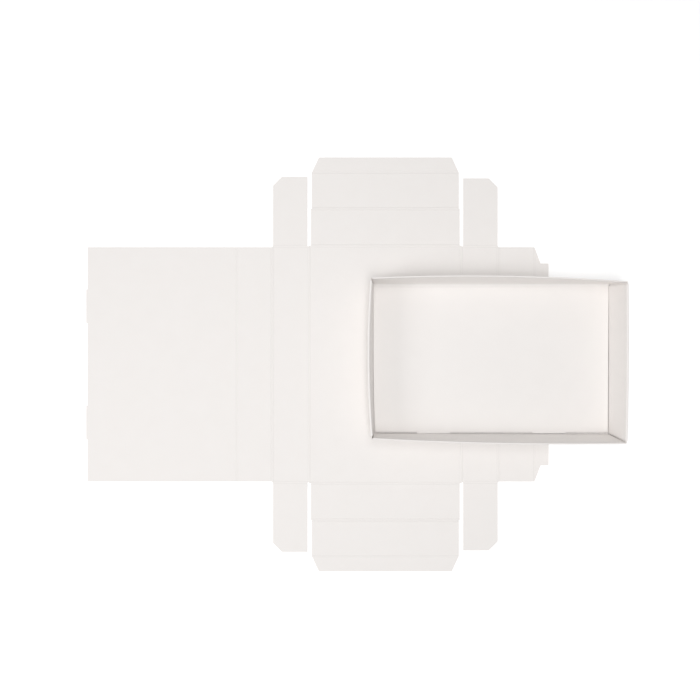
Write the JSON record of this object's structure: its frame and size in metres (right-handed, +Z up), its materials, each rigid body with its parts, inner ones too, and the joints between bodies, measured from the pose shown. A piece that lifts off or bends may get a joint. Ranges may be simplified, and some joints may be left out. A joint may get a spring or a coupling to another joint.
{
  "type": "jewelry gift box",
  "caption": "White folding-carton jewelry tray with double walls and a false bottom, set up and standing on a second carton of the same cut that lies flat and creased.",
  "frame": {"origin": "centre of the flat carton's base panel, on its underside", "axes": "+Z up, +X towards the flat carton's front edge, +Y towards its right-hand end; the set-up tray's long side runs along X"},
  "size_m": [0.3563, 0.2816, 0.0259],
  "materials": {
    "white_paperboard": "matte"
  },
  "bodies": {
    "flat_base_panel": {"flat_base_panel": "white_paperboard"},
    "flat_back_inner_wall": {"flat_back_inner_wall": "white_paperboard"},
    "flat_back_left_flap": {"flat_back_left_flap": "white_paperboard"},
    "flat_back_outer_wall": {"flat_back_outer_wall": "white_paperboard"},
    "flat_back_right_flap": {"flat_back_right_flap": "white_paperboard"},
    "flat_false_bottom": {"flat_false_bottom": "white_paperboard"},
    "flat_front_foot": {"flat_front_foot": "white_paperboard"},
    "flat_front_inner_wall": {"flat_front_inner_wall": "white_paperboard"},
    "flat_front_left_flap": {"flat_front_left_flap": "white_paperboard"},
    "flat_front_outer_wall": {"flat_front_outer_wall": "white_paperboard"},
    "flat_front_right_flap": {"flat_front_right_flap": "white_paperboard"},
    "flat_left_foot": {"flat_left_foot": "white_paperboard"},
    "flat_left_inner_wall": {"flat_left_inner_wall": "white_paperboard"},
    "flat_left_outer_wall": {"flat_left_outer_wall": "white_paperboard"},
    "flat_right_foot": {"flat_right_foot": "white_paperboard"},
    "flat_right_inner_wall": {"flat_right_inner_wall": "white_paperboard"},
    "flat_right_outer_wall": {"flat_right_outer_wall": "white_paperboard"},
    "tray": {"tray_back_inner_wall": "white_paperboard", "tray_back_left_flap": "white_paperboard", "tray_back_outer_wall": "white_paperboard", "tray_back_right_flap": "white_paperboard", "tray_base_panel": "white_paperboard", "tray_front_foot": "white_paperboard", "tray_front_inner_wall": "white_paperboard", "tray_front_left_flap": "white_paperboard", "tray_front_outer_wall": "white_paperboard", "tray_front_right_flap": "white_paperboard", "tray_left_foot": "white_paperboard", "tray_left_inner_wall": "white_paperboard", "tray_left_outer_wall": "white_paperboard", "tray_right_foot": "white_paperboard", "tray_right_inner_wall": "white_paperboard", "tray_right_outer_wall": "white_paperboard"},
    "tray_false_bottom": {"tray_false_bottom": "white_paperboard"}
  },
  "joints": [
    {"name": "fold_back_outer_wall", "type": "hinge", "parent": "flat_base_panel", "child": "flat_back_outer_wall", "pos_m": [-0.0518, 0, 0.0004], "axis": [0, 1, 0], "range_deg": [0, 90]},
    {"name": "roll_back_inner_wall", "type": "hinge", "parent": "flat_back_outer_wall", "child": "flat_back_inner_wall", "pos_m": [-0.0769, 0, 0.00045], "axis": [0, 1, 0], "range_deg": [0, 179.9]},
    {"name": "fold_false_bottom", "type": "hinge", "parent": "flat_back_inner_wall", "child": "flat_false_bottom", "pos_m": [-0.101, 0, 0], "axis": [0, 1, 0], "range_deg": [-90, 0]},
    {"name": "fold_right_outer_wall", "type": "hinge", "parent": "flat_base_panel", "child": "flat_right_outer_wall", "pos_m": [0, 0.0808, 0.0004], "axis": [1, 0, 0], "range_deg": [0, 90]},
    {"name": "roll_right_inner_wall", "type": "hinge", "parent": "flat_right_outer_wall", "child": "flat_right_inner_wall", "pos_m": [0, 0.1059, 0.0007], "axis": [1, 0, 0], "range_deg": [0, 179.9]},
    {"name": "fold_right_foot", "type": "hinge", "parent": "flat_right_inner_wall", "child": "flat_right_foot", "pos_m": [0, 0.1305, 0], "axis": [1, 0, 0], "range_deg": [-90, 0]},
    {"name": "fold_back_right_flap", "type": "hinge", "parent": "flat_back_outer_wall", "child": "flat_back_right_flap", "pos_m": [-0.0647, 0.0803, 0.0004], "axis": [1, 0, 0], "range_deg": [0, 90]},
    {"name": "fold_front_right_flap", "type": "hinge", "parent": "flat_front_outer_wall", "child": "flat_front_right_flap", "pos_m": [0.0647, 0.0803, 0.0004], "axis": [1, 0, 0], "range_deg": [0, 90]},
    {"name": "fold_left_outer_wall", "type": "hinge", "parent": "flat_base_panel", "child": "flat_left_outer_wall", "pos_m": [0, -0.0808, 0.0004], "axis": [-1, 0, 0], "range_deg": [0, 90]},
    {"name": "roll_left_inner_wall", "type": "hinge", "parent": "flat_left_outer_wall", "child": "flat_left_inner_wall", "pos_m": [0, -0.1059, 0.0007], "axis": [-1, 0, 0], "range_deg": [0, 179.9]},
    {"name": "fold_left_foot", "type": "hinge", "parent": "flat_left_inner_wall", "child": "flat_left_foot", "pos_m": [0, -0.1305, 0], "axis": [-1, 0, 0], "range_deg": [-90, 0]},
    {"name": "fold_back_left_flap", "type": "hinge", "parent": "flat_back_outer_wall", "child": "flat_back_left_flap", "pos_m": [-0.0647, -0.0803, 0.0004], "axis": [-1, 0, 0], "range_deg": [0, 90]},
    {"name": "fold_front_left_flap", "type": "hinge", "parent": "flat_front_outer_wall", "child": "flat_front_left_flap", "pos_m": [0.0647, -0.0803, 0.0004], "axis": [-1, 0, 0], "range_deg": [0, 90]},
    {"name": "tray_lift", "type": "slide", "parent": "flat_base_panel", "child": "tray", "axis": [0, 0, 1], "range_m": [0, 0.22]},
    {"name": "tray_false_bottom_lift", "type": "hinge", "parent": "tray", "child": "tray_false_bottom", "pos_m": [0.0716, 0.0547, 0.0018], "axis": [-1, 0, 0], "range_deg": [0, 85]},
    {"name": "fold_front_outer_wall", "type": "hinge", "parent": "flat_base_panel", "child": "flat_front_outer_wall", "pos_m": [0.0518, 0, 0.0004], "axis": [0, -1, 0], "range_deg": [0, 90]},
    {"name": "roll_front_inner_wall", "type": "hinge", "parent": "flat_front_outer_wall", "child": "flat_front_inner_wall", "pos_m": [0.0769, 0, 0.00045], "axis": [0, -1, 0], "range_deg": [0, 179.9]},
    {"name": "fold_front_foot", "type": "hinge", "parent": "flat_front_inner_wall", "child": "flat_front_foot", "pos_m": [0.1015, 0, 0], "axis": [0, -1, 0], "range_deg": [-90, 0]}
  ],
  "couplings": [
    {"joint": "fold_false_bottom", "follows": "roll_back_inner_wall", "ratio": -0.5},
    {"joint": "fold_right_foot", "follows": "roll_right_inner_wall", "ratio": -0.5},
    {"joint": "fold_left_foot", "follows": "roll_left_inner_wall", "ratio": -0.5},
    {"joint": "fold_front_outer_wall", "follows": "tray_lift", "rad_per_m": 7.1399},
    {"joint": "roll_front_inner_wall", "follows": "tray_lift", "rad_per_m": 14.28},
    {"joint": "fold_front_foot", "follows": "tray_lift", "rad_per_m": -7.1399}
  ]
}
